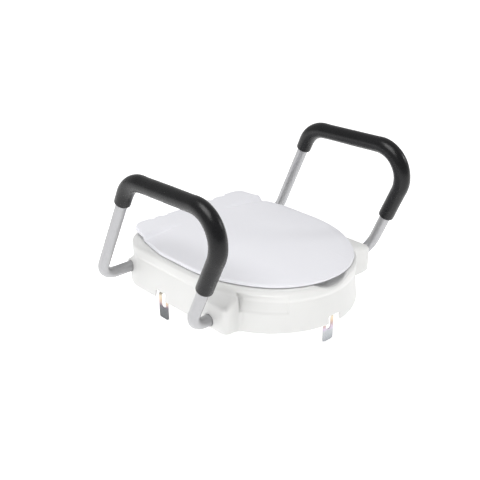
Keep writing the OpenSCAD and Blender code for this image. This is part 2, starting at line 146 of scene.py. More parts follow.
def seat_sdf(x, y, z):
    ax = np.abs(x)
    plan, hole = outline(x, y), opening(x, y)
    # ring surface: highest in the middle of the ring, falling gently to the opening
    top = z - (SEAT_Z - 4.5 * ramp(hole, 34.0, 0.0) ** 1.5 - 0.6 * ramp(plan, -14.0, 0.0))
    wall = plan - wall_offset(x, z)
    outer = smax(wall, top, 9.0)
    outer = smin(outer, boss(ax, y, z), 9.0)
    rear = rod_x(ax, y, z, REAR_LEG, SOCKET_Z, 120.0, REAR_MOUTH, 16.5, 4.0)
    outer = smin(outer, rear, 6.0)
    # hand hollow in the wall beside each front boss: deepest under the ring at the boss, running out to a ledge
    fade = 1.0 - np.clip(np.where(ax > 146.0, (ax - 146.0) / 6.0, (146.0 - ax) / 56.0), 0.0, 1.0)
    depth = 6.2 * fade * np.clip(1.0 - 0.82 * (118.0 - z) / 34.0, 0.0, 1.0)
    hollow = smax(smax(-(wall + depth), np.abs(z - 101.0) - 17.0, 3.0), y + 92.0, 2.0)
    outer = smax(outer, -np.where(fade > 0.0, hollow, FAR), 3.0)
    dip = DIP_R - np.hypot(x, z - (SEAT_Z - DIP_DEPTH + DIP_R))
    dip = np.where(y < -60.0, -dip, FAR)
    outer = smax(outer, -dip, 4.0)
    full = smax(outer, WALL_Z - z, 2.4)
    cavity = smax(outer + SHELL, SHELL - hole, 2.0)
    f = smax(smax(full, -cavity, 1.6), -hole, 5.0)
    skirt = smax(np.abs(hole - 1.8) - 1.8, np.maximum(SKIRT_Z - z, z - 120.0), 1.4)
    skirt = smax(skirt, 3.4 - dip, 2.0)
    f = smin(f, skirt, 2.0)
    # inside the shell: sockets, their posts, pad columns, clamp bolt columns and ribs
    inside = smin(
        rod_x(ax, y, z, FRONT_LEG, SOCKET_Z, SOCKET_IN, FRONT_MOUTH - 2.0, SOCKET_R),
        rod_x(ax, y, z, REAR_LEG, SOCKET_Z, SOCKET_IN, REAR_MOUTH - 1.0, SOCKET_R), 2.0)
    for kx, ky in KNOBS:
        inside = smin(inside, rod_z(ax, y, z, kx, ky, 56.0, 66.0, 7.0), 2.0)
        inside = smin(inside, box_at(ax, y, z, (kx, ky, 105.0), (1.6, 11.0, 22.0), 0.6), 3.0)
    for px, py in PADS:
        inside = smin(inside, rod_z(ax, y, z, px, py, 47.5, 126.0, 12.0), 3.0)
    inside = smin(inside, rod_z(ax, y, z, *SIDE_CLAMP, 53.2, 126.0, 9.0), 3.0)
    inside = smin(inside, rod_z(x, y, z, *FRONT_CLAMP, 53.2, 118.0, 9.0), 3.0)
    for rx, ry, angle in RIBS:
        c, s = math.cos(math.radians(angle)), math.sin(math.radians(angle))
        across = np.abs(-(ax - rx) * s + (y - ry) * c) - 1.5
        along = np.abs((ax - rx) * c + (y - ry) * s) - 60.0
        rib = np.maximum(np.maximum(across, along), np.abs(z - 112.5) - 14.5)
        inside = smin(inside, rib, 3.0)
    inside = smax(inside, np.maximum(outer + 1.5, 1.5 - hole), 1.0)
    f = smin(f, inside, 2.0)
    # hinge lugs
    for lx in LUGS:
        lug = rod_x(ax, y, z, HINGE_Y, HINGE_Z, lx - 6.0, lx + 6.0, 5.5, 1.2)
        foot = box_at(ax, y, z, (lx, HINGE_Y, 134.0), (6.0, 5.5, 8.0), 0.8)
        f = smin(f, smin(lug, foot, 0.5), 2.5)
    # bores, notches
    bore = np.minimum(
        rod_x(ax, y, z, FRONT_LEG, SOCKET_Z, SOCKET_IN - 1.0, 215.0, BORE_R, 0.4),
        rod_x(ax, y, z, REAR_LEG, SOCKET_Z, SOCKET_IN - 1.0, 190.0, BORE_R, 0.4))
    for kx, ky in KNOBS:
        bore = np.minimum(bore, rod_z(ax, y, z, kx, ky, 50.0, 73.0, SCREW_R, 0.2))
    bore = np.minimum(bore, rod_z(ax, y, z, *SIDE_CLAMP, 44.0, 70.0, SCREW_R, 0.2))
    bore = np.minimum(bore, rod_z(x, y, z, *FRONT_CLAMP, 44.0, 70.0, SCREW_R, 0.2))
    bore = np.minimum(bore, rod_x(ax, y, z, HINGE_Y, HINGE_Z, *PIN_SPAN, SCREW_R, 0.2))
    f = smax(f, -bore, 0.8)
    notch = np.minimum(
        box_at(x, y, z, (0.0, -214.0, 46.0), (14.3, 12.0, 14.0), 2.5),
        box_at(ax, y, z, (179.0, 69.0, 46.0), (15.0, 14.3, 14.0), 2.5))
    return smax(f, -notch, 1.6)


def crown(x, y):
    """Height of the lid's crowned panel over its plan."""
    back = np.minimum(y, 0.0)
    return LID_TOP - (x * x + back * back) / (2 * CROWN_R)


def lid_plan(x, y):
    """Distance outside the lid's outline, narrowing towards the hinge."""
    ax = np.abs(x)
    d = outline(x, y)
    taper = (ax - 172.0 + (y - 75.0) * 14.0 / 72.0) * 0.981
    tail = (ax - 158.0 + (y - 147.0) * 13.5 / 54.5) * 0.97
    d = np.where(y < 75.0, d, np.maximum(d, np.maximum(taper, tail)))
    return smax(d, y - 202.5, 3.5)


def lid_sdf(x, y, z):
    ax = np.abs(x)
    plan = lid_plan(x, y)
    strip = ramp(y, STRIP_Y - 9.0, STRIP_Y + 3.0)
    edge = 2.4 * ramp(plan, -26.0, 0.0) ** 2
    panel = crown(x, y) - edge
    valley_width = 5.0 + 5.0 * ramp(ax, 60.0, 160.0)
    valley = 3.2 * np.exp(-((y - STRIP_Y + 8.0) / valley_width) ** 2) * ramp(ax, 30.0, 150.0)
    ledge = STRIP_Z - 0.6 * ramp(plan, -8.0, 0.0) + 1.8 * ramp(y, 160.0, 200.0) * ramp(ax, 20.0, 140.0)
    high = (panel - valley) * (1 - strip) + ledge * strip
    rim = 2.1 * ramp(plan, -6.0, -4.0) * ramp(y, 140.0, 130.0)
    low = LID_LOW + (HINGE_Z - LID_LOW) * ramp(y, STRIP_Y, STRIP_Y + 4.0) - rim
    body = smax(smax(plan, z - high, 3.4), low - z, 1.2)
    hollow = smax(smax(plan + 4.2, z - (high - 3.4), 2.5), y - STRIP_Y + 5.0, 2.0)
    back = smax(smax(plan + 8.0, z - (STRIP_Z - 3.4), 2.0), np.abs(y - 168.5) - 16.5, 2.0)
    for rx in (-90.0, -45.0, 0.0, 45.0, 90.0):
        back = smax(back, 1.4 - np.abs(x - rx), 1.0)
    f = smax(body, -np.minimum(hollow, back), 1.2)
    # stiffening ribs and buffer posts inside the cap
    ribs = np.minimum(np.abs(ax - 64.0), np.abs(y + 10.0)) - 1.3
    ribs = smax(smax(ribs, 139.5 - z, 1.0), smax(body + 1.0, y - STRIP_Y + 3.0, 1.0), 1.0)
    f = smin(f, ribs, 2.0)
    for bx, by in BUFFERS:
        post = smax(rod_z(ax, y, z, bx, by, LID_LOW, 146.0, 7.0, 1.0), body + 1.0, 1.0)
        f = smin(f, post, 2.0)
    f = smin(f, rod_x(ax, y, z, HINGE_Y, HINGE_Z, 72.4, 87.6, 5.5, 0.8), 2.0)
    pocket = FAR
    for x0, x1 in ((56.6, 72.4), (87.6, 101.8)):
        across = np.maximum(x0 - ax, ax - x1)
        slot = np.maximum(np.maximum(across, HINGE_Y - y), HINGE_Z - 2.0 - z)
        pocket = np.minimum(pocket, np.minimum(rod_x(ax, y, z, HINGE_Y, HINGE_Z, x0, x1, 6.4, 0.4), slot))
    pocket = np.minimum(pocket, rod_x(ax, y, z, HINGE_Y, HINGE_Z, *PIN_SPAN, 3.15, 0.2))
    return smax(f, -pocket, 0.8)


CORNERS = [(i, j, k) for i in (0, 1) for j in (0, 1) for k in (0, 1)]
EDGES = [(a, b) for a in range(8) for b in range(a + 1, 8)
         if sum(abs(p - q) for p, q in zip(CORNERS[a], CORNERS[b])) == 1]


def surface_nets(f, lo, h):
    """Quads round the zero set of the sampled field f."""
    s = f < 0
    n = [m - 1 for m in f.shape]
    count = np.zeros(n, np.int8)
    for i, j, k in CORNERS:
        count += s[i:i + n[0], j:j + n[1], k:k + n[2]]
    cells = np.argwhere((count > 0) & (count < 8))
    vals = np.stack([f[cells[:, 0] + i, cells[:, 1] + j, cells[:, 2] + k] for i, j, k in CORNERS], 1)
    total, hits = np.zeros((len(cells), 3)), np.zeros(len(cells))
    for a, b in EDGES:
        fa, fb = vals[:, a], vals[:, b]
        m = (fa < 0) != (fb < 0)
        t = fa[m] / (fa[m] - fb[m])
        pa, pb = np.array(CORNERS[a], float), np.array(CORNERS[b], float)
        total[m] += pa + t[:, None] * (pb - pa)
        hits[m] += 1
    verts = lo + h * (cells + total / hits[:, None])
    ids = np.full(n, -1, np.int32)
    ids[cells[:, 0], cells[:, 1], cells[:, 2]] = np.arange(len(cells))
    quads = []
    for axis in range(3):
        u, v = (axis + 1) % 3, (axis + 2) % 3
        a = [slice(1, -1)] * 3
        a[axis] = slice(0, -1)
        b = list(a)
        b[axis] = slice(1, None)
        cross = s[tuple(a)] != s[tuple(b)]
        g = np.argwhere(cross)
        g[:, u] += 1
        g[:, v] += 1
        du, dv = np.eye(3, dtype=int)[u], np.eye(3, dtype=int)[v]
        ring = [g - du - dv, g - dv, g, g - du]
        q = np.stack([ids[tuple(r.T)] for r in ring], 1)
        inner = s[tuple(g.T)]
        q[~inner] = q[~inner][:, ::-1]
        quads.append(q)
    quads = np.concatenate(quads)
    return verts, quads[(quads >= 0).all(1)]


def gradient(sdf, p, e=0.15):
    """Slope of the SDF at each point, by central differences."""
    steps = np.eye(3) * e
    return np.stack([sdf(*(p + d).T) - sdf(*(p - d).T) for d in steps], 1) / (2 * e)


def settle(sdf, verts, quads, h, rounds=3):
    """Evens the mesh out along the surface and puts each vertex back on it."""
    n = len(verts)
    ends = np.concatenate([quads[:, c] for c in range(4)] * 2)
    others = np.concatenate([quads[:, (c + turn) % 4] for turn in (1, 3) for c in range(4)])
    weight = np.maximum(np.bincount(ends, minlength=n), 1)
    for _ in range(rounds):
        mean = np.stack([np.bincount(ends, verts[others, c], n) / weight for c in range(3)], 1)
        verts = verts * 0.4 + 0.6 * mean
        for _ in range(2):
            g = gradient(sdf, verts)
            f = sdf(verts[:, 0], verts[:, 1], verts[:, 2])
            step = -(f / np.maximum((g * g).sum(1), 0.2))[:, None] * g
            size = np.linalg.norm(step, axis=1, keepdims=True)
            verts = verts + step * np.minimum(1.0, 0.6 * h / np.maximum(size, 1e-9))
    return verts


def field(sdf, axes, h, block=8):
    """The SDF on a grid, worked out finely only in the blocks that the surface may pass through."""
    n = np.array([len(a) for a in axes])
    mids = [np.array([a[min(i + block // 2, len(a) - 1)] for i in range(0, len(a), block)]) for a in axes]
    rough = sdf(*np.meshgrid(*mids, indexing="ij", sparse=True))
    full = np.repeat(np.repeat(np.repeat(rough, block, 0), block, 1), block, 2)[:n[0], :n[1], :n[2]].copy()
    near = np.argwhere(np.abs(rough) < block * h * 1.5) * block
    cell = np.stack(np.meshgrid(*[np.arange(block)] * 3, indexing="ij"), -1).reshape(-1, 3)
    for part in np.array_split(near, max(1, len(near) // 2000)):
        idx = (part[:, None, :] + cell).reshape(-1, 3)
        idx = idx[(idx < n).all(1)]
        full[tuple(idx.T)] = sdf(*[axes[c][idx[:, c]] for c in range(3)])
    return full


def shell_from(sdf, lo, hi, h):
    axes = [np.arange(a - 2.5 * h, b + 3.5 * h, h) for a, b in zip(lo, hi)]
    verts, quads = surface_nets(field(sdf, axes, h), np.array([a[0] for a in axes]), h)
    return settle(sdf, verts, quads, h), quads


# ---------------------------------------------------------------- hardware shapes
def bracket_sdf(x, y, z):
    """Front bowl clamp: a bent steel strip with one long slot through its upright and round its bend."""
    upright = box_at(x, y, z, (0.0, -202.0, 24.0), (13.5, 1.0, 25.0), 0.35)
    foot = box_at(x, y, z, (0.0, -176.5, 51.5), (13.5, 21.5, 1.0), 0.35)
    bend = np.abs(np.hypot(y + 198.0, z - 47.5) - 4.0) - 1.0
    bend = np.maximum(np.maximum(bend, np.abs(x) - 13.5), np.maximum(y + 198.0, 47.5 - z))
    f = np.minimum(np.minimum(np.maximum(upright, z - 47.5), np.maximum(foot, -198.0 - y)), bend)
    corner = smax(np.abs(x) - 13.5, -z, 5.0)
    corner = smax(corner, y + 155.0, 5.0)
    f = np.maximum(f, corner)
    low_slot = smax(np.abs(x) - 6.5, 24.0 - z, 6.0)
    low_slot = np.maximum(low_slot, y + 196.0)
    high_slot = smax(np.abs(x) - 6.5, y + 161.5, 6.0)
    high_slot = np.maximum(high_slot, 45.0 - z)
    return smax(f, -np.minimum(low_slot, high_slot), 0.5)


def grip_pad_sdf(x, y, z):
    """Ribbed rubber pad on the clamp's inner face."""
    ribs = 0.45 * np.clip(np.cos((z - 9.0) * 2 * math.pi / 2.8) * 2.0, -1.0, 1.0) * ramp(y, -200.0, -198.6)
    return box_at(x, y, z, (0.0, -199.5, 9.0), (10.0, 1.5, 7.0), 0.7) + 0.45 - ribs


def thread(x, y, z, r, pitch, depth):
    turn = np.arctan2(y, x) / (2 * math.pi)
    saw = np.abs(np.mod(z / pitch - turn, 1.0) - 0.5) * 2.0
    return (np.hypot(x, y) - r + depth * (1 - np.clip(saw * 1.35 - 0.15, 0.0, 1.0))) * 0.8


def bolt_sdf(x, y, z):
    end = ramp(z, 46.0, 44.4) * 0.8
    return smax(thread(x, y, z, 3.0 - end, 1.0, 0.45), np.maximum(44.4 - z, z - 69.4), 0.3)


def washer_sdf(x, y, z):
    return smax(smax(np.hypot(x, y) - 9.0, 3.2 - np.hypot(x, y), 0.3), np.abs(z - 49.8) - 0.6, 0.5)


def nut_sdf(x, y, z):
    turn = np.mod(np.arctan2(y, x) + math.pi / 6, math.pi / 3) - math.pi / 6
    r = np.hypot(x, y)
    f = r * np.cos(turn) - 5.0
    f = np.maximum(f, np.abs(z - 46.65) - 2.45)
    f = smax(f, (r + np.abs(z - 46.65) * 1.732 - 5.0 - 2.45 * 1.732 + 0.5) * 0.5, 0.2)
    return smax(f, 3.08 - r - 0.6 * ramp(np.abs(z - 46.65), 1.7, 2.45), 0.3)


def knob_sdf(x, y, z):
    turn = np.arctan2(y, x)
    r = np.hypot(x, y)
    skirt = 1.2 * ramp(z, 54.0, 47.0)
    head = smax((r - 10.2 - 0.8 * np.cos(6 * turn) + skirt * 0.6) * 0.9, np.abs(z - 50.25) - 3.75, 2.2)
    head = smax(head, -np.maximum(r - 6.6, z - 47.7), 0.8)
    head = smin(head, smax(r - 2.2, np.abs(z - 48.3) - 1.5, 0.6), 0.8)
    neck = rod_z(x, y, z, 0.0, 0.0, 52.0, 56.0, 4.6, 0.8)
    shank = smax(thread(x, y, z, 3.0, 1.25, 0.5), np.maximum(52.0 - z, z - 61.7), 0.4)
    return np.minimum(smin(head, neck, 1.0), shank)


def rim_pad_sdf(x, y, z):
    r = np.hypot(x, y)
    groove = 0.5 * np.clip(1.2 - np.abs(r - 5.4), 0.0, 1.0)
    return smax(r - 12.0, np.maximum(44.0 - z + groove, z - 47.5), 1.2)


def buffer_sdf(x, y, z):
    r = np.hypot(x, y)
    return smax(r - 5.5 + 0.12 * (134.5 - z), np.maximum(131.4 - z, z - 134.5), 1.3)


def plug_sdf(x, y, z):
    """End plug of an armrest tube, along X from its flange."""
    r = np.hypot(y, z)
    ribs = 0.25 * np.cos(x * 2 * math.pi / 3.0)
    body = smax(r - 9.3 - ribs, np.maximum(125.5 - x, x - 141.0), 1.2)
    flange = smax(r - 10.8, np.maximum(125.5 - x, x - 128.0), 1.0)
    hollow = smax(r - 6.4, 129.5 - x, 1.0)
    return smax(np.minimum(body, flange), -hollow, 0.8)


def pin_sdf(x, y, z):
    """Hinge pin along X with a low domed head at each end."""
    r = np.hypot(y, z)
    return smax(r - 3.0 + 0.5 * ramp(np.abs(x - 80.0), 20.2, 21.6), np.abs(x - 80.0) - 21.5, 0.8)


# ---------------------------------------------------------------- bent tubes
def arm_path(step=1.2):
    """Points along the armrest's centre line, right side."""
    pts = []
    for i, p in enumerate(ARM):
        if i in (0, len(ARM) - 1):
            pts.append(p)
            continue
        a, b = ARM[i - 1] - p, ARM[i + 1] - p
        a, b = a / np.linalg.norm(a), b / np.linalg.norm(b)
        half = math.acos(np.dot(a, b)) / 2
        reach = ARM_BENDS[i] / math.tan(half)
        mid = (a + b) / np.linalg.norm(a + b)
        centre = p + mid * ARM_BENDS[i] / math.sin(half)
        u, v = p + a * reach - centre, p + b * reach - centre
        sweep = math.pi - 2 * half
        n = max(8, int(ARM_BENDS[i] * sweep / step))
        for t in np.linspace(0, 1, n + 1):
            pts.append(centre + (math.sin((1 - t) * sweep) * u + math.sin(t * sweep) * v) / math.sin(sweep))
    return np.array(pts)


def along(points, step):
    """Evenly spaced points on a polyline."""
    d = np.concatenate([[0], np.cumsum(np.linalg.norm(np.diff(points, axis=0), axis=1))])
    s = np.linspace(0, d[-1], max(2, int(d[-1] / step)) + 1)
    return np.stack([np.interp(s, d, points[:, c]) for c in range(3)], 1), s


def between(points, start, end):
    """The stretch of a polyline from the point nearest start to that nearest end."""
    fine, _ = along(points, 0.5)
    i = np.argmin(np.linalg.norm(fine - start, axis=1))
    j = np.argmin(np.linalg.norm(fine - end, axis=1))
    return fine[i:j + 1]


def frames(points):
    """Tangent and two normals at each point, turning as little as possible."""
    t = np.gradient(points, axis=0)
    t /= np.linalg.norm(t, axis=1)[:, None]
    n = np.empty_like(t)
    ref = np.array([0.0, 0.0, 1.0]) if abs(t[0][2]) < 0.9 else np.array([1.0, 0.0, 0.0])
    n[0] = np.cross(t[0], ref)
    n[0] /= np.linalg.norm(n[0])
    for i in range(1, len(t)):
        m = n[i - 1] - t[i] * np.dot(n[i - 1], t[i])
        n[i] = m / np.linalg.norm(m)
    return t, n, np.cross(t, n)


def sweep_ring(points, rings, sides):
    """A closed skin through rings (index along the path, shift along it, radius function of angle)."""
    t, n, b = frames(points)
    ang = np.linspace(0, 2 * math.pi, sides, endpoint=False)
    verts = []
    for i, shift, radius in rings:
        r = radius(ang, i) if callable(radius) else np.full(sides, radius)
        verts.append(points[i] + t[i] * shift + n[i] * (r * np.cos(ang))[:, None] + b[i] * (r * np.sin(ang))[:, None])
    verts = np.concatenate(verts)
    m = len(rings)
    faces = []
    for k in range(m):
        for s in range(sides):
            a, c = k * sides + s, k * sides + (s + 1) % sides
            d, e = ((k + 1) % m) * sides + (s + 1) % sides, ((k + 1) % m) * sides + s
            faces.append((a, c, d, e))
    return verts, faces


def tube_mesh(points, outer, inner, sides=48, edge=0.35):
    last = len(points) - 1
    rings = [(0, 0.0, outer - edge), (0, edge * 0.3, outer - edge * 0.3), (0, edge, outer)]
    rings += [(i, 0.0, outer) for i in range(1, last)]
    rings += [(last, -edge, outer), (last, -edge * 0.3, outer - edge * 0.3), (last, 0.0, outer - edge)]
    rings += [(last, 0.0, inner + edge), (last, -edge, inner)]
    rings += [(i, 0.0, inner) for i in range(last - 1, 0, -1)]
    rings += [(0, edge, inner), (0, 0.0, inner + edge)]
    return sweep_ring(points, rings, sides)


# ---------------------------------------------------------------- materials
def opaque(r, g, b):
    return (r, g, b, 1.0)


def new_material(name, base, rough, metallic=0.0, coat=0.0, spec=0.5):
    mat = bpy.data.materials.new(name)
    mat.use_nodes = True
    nt = mat.node_tree
    bsdf = nt.nodes["Principled BSDF"]
    bsdf.inputs["Base Color"].default_value = opaque(*base)
    bsdf.inputs["Roughness"].default_value = rough
    bsdf.inputs["Metallic"].default_value = metallic
    bsdf.inputs["Coat Weight"].default_value = coat
    bsdf.inputs["Coat Roughness"].default_value = 0.12
    bsdf.inputs["Specular IOR Level"].default_value = spec
    return mat, nt, bsdf


def node(nt, kind, **inputs):
    n = nt.nodes.new(kind)
    for key, value in inputs.items():
        n.inputs[key].default_value = value
    return n


def coords(nt, scale=(1.0, 1.0, 1.0)):
    tex = nt.nodes.new("ShaderNodeTexCoord")
    m = nt.nodes.new("ShaderNodeMapping")
    m.inputs["Scale"].default_value = scale
    nt.links.new(tex.outputs["Object"], m.inputs["Vector"])
    return m.outputs["Vector"]


def noise(nt, vector, scale, detail=3.0, rough=0.5):
    n = node(nt, "ShaderNodeTexNoise", Scale=scale, Detail=detail, Roughness=rough)
    nt.links.new(vector, n.inputs["Vector"])
    return n.outputs["Fac"]


def spread(nt, fac, low, high, start=0.3, end=0.7):
    """A value from low to high as fac goes from start to end."""
    m = nt.nodes.new("ShaderNodeMapRange")
    for i, v in enumerate((start, end, low, high)):
        m.inputs[i + 1].default_value = v
    nt.links.new(fac, m.inputs[0])
    return m.outputs[0]


def tint(nt, fac, stops):
    ramp_node = nt.nodes.new("ShaderNodeValToRGB")
    cr = ramp_node.color_ramp
    while len(cr.elements) < len(stops):
        cr.elements.new(0.5)
    for e, (pos, col) in zip(cr.elements, stops):
        e.position = pos
        e.color = opaque(*col)
    nt.links.new(fac, ramp_node.inputs["Fac"])
    return ramp_node.outputs["Color"]


def bump(nt, bsdf, heights):
    """Chains bumps: (height socket, distance in metres, strength)."""
    last = None
    for height, distance, strength in heights:
        b = node(nt, "ShaderNodeBump", Strength=strength, Distance=distance)
        nt.links.new(height, b.inputs["Height"])
        if last is not None:
            nt.links.new(last, b.inputs["Normal"])
        last = b.outputs["Normal"]
    nt.links.new(last, bsdf.inputs["Normal"])


def moulded(name, base, shade, rough, grain, grain_depth):
    """Moulded plastic: slight mottling, uneven gloss and a fine spark-eroded grain."""
    mat, nt, bsdf = new_material(name, base, rough)
    v = coords(nt)
    cloud = noise(nt, v, 9.0, 4.0)
    nt.links.new(tint(nt, cloud, [(0.3, shade), (0.68, base)]), bsdf.inputs["Base Color"])
    nt.links.new(spread(nt, noise(nt, v, 60.0, 2.0), rough - 0.05, rough + 0.06), bsdf.inputs["Roughness"])
    swell_marks = noise(nt, v, 14.0, 2.0)
    bump(nt, bsdf, [(swell_marks, 0.0006, 0.12), (noise(nt, v, grain, 2.0, 0.6), grain_depth, 0.25)])
    return mat


def foam_material():
    """Closed-cell grip foam: near black with a soft sheen, fine pores and faint scuffing."""
    mat, nt, bsdf = new_material("grip_foam", (0.0035, 0.0036, 0.0045), 0.26, spec=0.34)
    bsdf.inputs["Sheen Weight"].default_value = 0.05
    bsdf.inputs["Sheen Roughness"].default_value = 0.5
    v = coords(nt)
    cloud = noise(nt, v, 40.0, 5.0)
    blacks = [(0.3, (0.0025, 0.0025, 0.0032)), (0.72, (0.0048, 0.005, 0.0062))]
    nt.links.new(tint(nt, cloud, blacks), bsdf.inputs["Base Color"])
    nt.links.new(spread(nt, noise(nt, v, 160.0, 3.0), 0.24, 0.32), bsdf.inputs["Roughness"])
    cells = node(nt, "ShaderNodeTexVoronoi", Scale=1100.0)
    nt.links.new(v, cells.inputs["Vector"])
    pores = spread(nt, cells.outputs["Distance"], 0.0, 1.0, 0.05, 0.5)
    bump(nt, bsdf, [(noise(nt, v, 55.0, 3.0), 0.0008, 0.15), (pores, 0.0002, 0.12)])
    return mat


def lacquer_material():
    """Silver-grey lacquered tube with a light orange-peel."""
    mat, nt, bsdf = new_material("tube_lacquer", (0.42, 0.42, 0.43), 0.34, metallic=0.65, coat=0.1)
    v = coords(nt)
    fleck = noise(nt, v, 1400.0, 2.0)
    nt.links.new(tint(nt, fleck, [(0.3, (0.37, 0.37, 0.38)), (0.7, (0.47, 0.47, 0.482))]), bsdf.inputs["Base Color"])
    nt.links.new(spread(nt, noise(nt, v, 90.0, 2.0), 0.29, 0.4), bsdf.inputs["Roughness"])
    bump(nt, bsdf, [(noise(nt, v, 420.0, 2.0), 0.0002, 0.14)])
    return mat


def rubber_material(name, base):
    mat, nt, bsdf = new_material(name, base, 0.72, spec=0.35)
    v = coords(nt)
    dusty = tuple(c * 2.1 + 0.006 for c in base)
    nt.links.new(tint(nt, noise(nt, v, 120.0, 5.0), [(0.35, base), (0.8, dusty)]), bsdf.inputs["Base Color"])
    nt.links.new(spread(nt, noise(nt, v, 300.0, 2.0), 0.62, 0.82), bsdf.inputs["Roughness"])
    bump(nt, bsdf, [(noise(nt, v, 900.0, 3.0), 0.0002, 0.3)])
    return mat


def zinc_material(name, low, high, steel_band_brightness):
    """Zinc plate with an iridescent passivation: blue-grey, purple, pink, gold and pale grey in drifting bands."""
    mat, nt, bsdf = new_material(name, (0.45, 0.44, 0.4), 0.38, metallic=0.75)
    v = coords(nt)
    xyz = nt.nodes.new("ShaderNodeSeparateXYZ")
    nt.links.new(v, xyz.inputs[0])
    height = spread(nt, xyz.outputs["Z"], 0.0, 1.0, low, high)
    drift = spread(nt, noise(nt, v, 55.0, 3.0), -0.11, 0.11, 0.2, 0.8)
    add = nt.nodes.new("ShaderNodeMath")
    add.operation = "ADD"
    nt.links.new(height, add.inputs[0])
    nt.links.new(drift, add.inputs[1])
    # The steel-grey bands are scaled by the brightness factor; on the clamps this paints light and shade.
    steel = [(0.0, (0.2, 0.21, 0.22)), (0.34, (0.24, 0.25, 0.26)), (0.46, (0.3, 0.26, 0.32))]
    bands = [(pos, tuple(min(0.9, c * steel_band_brightness) for c in col)) for pos, col in steel]
    bands += [(0.56, (0.52, 0.38, 0.38)), (0.68, (0.66, 0.52, 0.38)),
              (0.82, (0.72, 0.63, 0.48)), (1.0, (0.7, 0.67, 0.6))]
    nt.links.new(tint(nt, add.outputs[0], bands), bsdf.inputs["Base Color"])
    brushed = noise(nt, coords(nt, (1.0, 1.0, 0.06)), 900.0, 3.0)
    nt.links.new(spread(nt, brushed, 0.22, 0.42), bsdf.inputs["Roughness"])
    bump(nt, bsdf, [(noise(nt, coords(nt, (1.0, 1.0, 0.05)), 1300.0, 2.0), 0.0001, 0.16)])
    return mat


def steel_material():
    mat, nt, bsdf = new_material("hinge_steel", (0.66, 0.67, 0.69), 0.26, metallic=1.0)
    v = coords(nt, (0.06, 1.0, 1.0))
    greys = [(0.3, (0.58, 0.59, 0.61)), (0.7, (0.72, 0.73, 0.75))]
    nt.links.new(tint(nt, noise(nt, v, 500.0, 3.0), greys), bsdf.inputs["Base Color"])
    nt.links.new(spread(nt, noise(nt, v, 900.0, 2.0), 0.18, 0.34), bsdf.inputs["Roughness"])
    bump(nt, bsdf, [(noise(nt, v, 1500.0, 2.0), 0.00006, 0.2)])
    return mat


SEAT = moulded("seat_plastic", (0.82, 0.82, 0.808), (0.8, 0.8, 0.787), 0.42, 1500.0, 0.00012)
LID = moulded("lid_plastic", (0.91, 0.91, 0.95), (0.895, 0.895, 0.935), 0.55, 1900.0, 0.00006)
BLACK = moulded("black_plastic", (0.018, 0.018, 0.019), (0.012, 0.012, 0.013), 0.48, 1800.0, 0.00015)
FOAM = foam_material()
LACQUER = lacquer_material()
PAD = rubber_material("pad_rubber", (0.016, 0.016, 0.017))
# One zinc copy per clamp. Its steel-grey bands are brightened on the front clamp as painted light and darkened on the
# left clamp as painted shade, with the right clamp in between.
ZINC_LIT_AND_SHADED = {end: zinc_material("zinc_clamp_" + end, 0.0, 0.056, steel_band_brightness)
        for end, steel_band_brightness in (("front", 2.0), ("left", 0.6), ("right", 1.1))}
ZINC_SMALL = zinc_material("zinc_fastener", 0.0, 0.075, 1.4)
STEEL = steel_material()


# ---------------------------------------------------------------- meshes
def make(name, verts, faces, material, body, stands_for=(), normals=None):
    """A piece from vertices in millimetres. It rides on a CAD body and may stand for CAD nodes."""
    mesh = bpy.data.meshes.new(name)
    mesh.from_pydata((np.asarray(verts) * MM).tolist(), [], np.asarray(faces).tolist())
    mesh.validate()
    mesh.update()
    mesh.polygons.foreach_set("use_smooth", [True] * len(mesh.polygons))
    if normals is not None:
        mesh.normals_split_custom_set_from_vertices(normals.tolist())
    obj = bpy.data.objects.new(name, mesh)
    bpy.context.scene.collection.objects.link(obj)
    mesh.materials.append(material)
    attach(obj, body)
    if stands_for:
        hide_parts(*stands_for)
    return obj


def unit(v):
    return v / np.maximum(np.linalg.norm(v, axis=1, keepdims=True), 1e-9)


def moulding(name, sdf, lo, hi, h, keep, material, body, stands_for):
    """A moulded shell: meshed finely, thinned where it is flat, and shaded with the shape's own normals."""
    verts, faces = shell_from(sdf, lo, hi, h)
    obj = make(name, verts, faces, material, body, stands_for)
    thin = obj.modifiers.new("thin", "DECIMATE")
    thin.ratio = keep
    bpy.context.view_layer.update()
    mesh = bpy.data.meshes.new_from_object(obj.evaluated_get(bpy.context.evaluated_depsgraph_get()))
    obj.modifiers.clear()
    obj.data = mesh
    mesh.name = name
    co = np.empty(len(mesh.vertices) * 3)
    mesh.vertices.foreach_get("co", co)
    mesh.polygons.foreach_set("use_smooth", [True] * len(mesh.polygons))
    mesh.normals_split_custom_set_from_vertices(unit(gradient(sdf, co.reshape(-1, 3) / MM, 0.3)).tolist())
    return obj


def small(sdf, lo, hi, h):
    """Vertices, faces and normals of a small part, to be placed one or more times."""
    verts, faces = shell_from(sdf, lo, hi, h)
    return verts, faces, unit(gradient(sdf, verts, 0.04))


def placed(part, turn=0.0, shift=(0, 0, 0), mirror=False):
    verts, faces, normals = part
    c, s = math.cos(turn), math.sin(turn)
    rot = np.array([[c, s, 0], [-s, c, 0], [0, 0, 1.0]])
    v, n, f = verts @ rot + np.array(shift, float), normals @ rot, faces
    if mirror:
        v, n, f = v * (-1, 1, 1), n * (-1, 1, 1), f[:, ::-1]
    return v, f, n


def joined(parts):
    count, vs, fs, ns = 0, [], [], []
    for v, f, n in parts:
        vs.append(v)
        fs.append(f + count)
        ns.append(n)
        count += len(v)
    return np.concatenate(vs), np.concatenate(fs), np.concatenate(ns)


def fit_part(name, part, material, body, stands_for):
    v, f, n = part
    return make(name, v, f, material, body, stands_for, n)


# ---------------------------------------------------------------- the seat and its lid
FINE = 1.7
moulding("seat_moulding", seat_sdf, (-206, -222, 28), (206, 222, 148), FINE, 0.3,
         SEAT, "seat", ("seat_body",))
moulding("lid_moulding", lid_sdf, (-174, -212, 132), (174, 204, 153), FINE * 0.75, 0.25,
         LID, "lid", ("lid",))

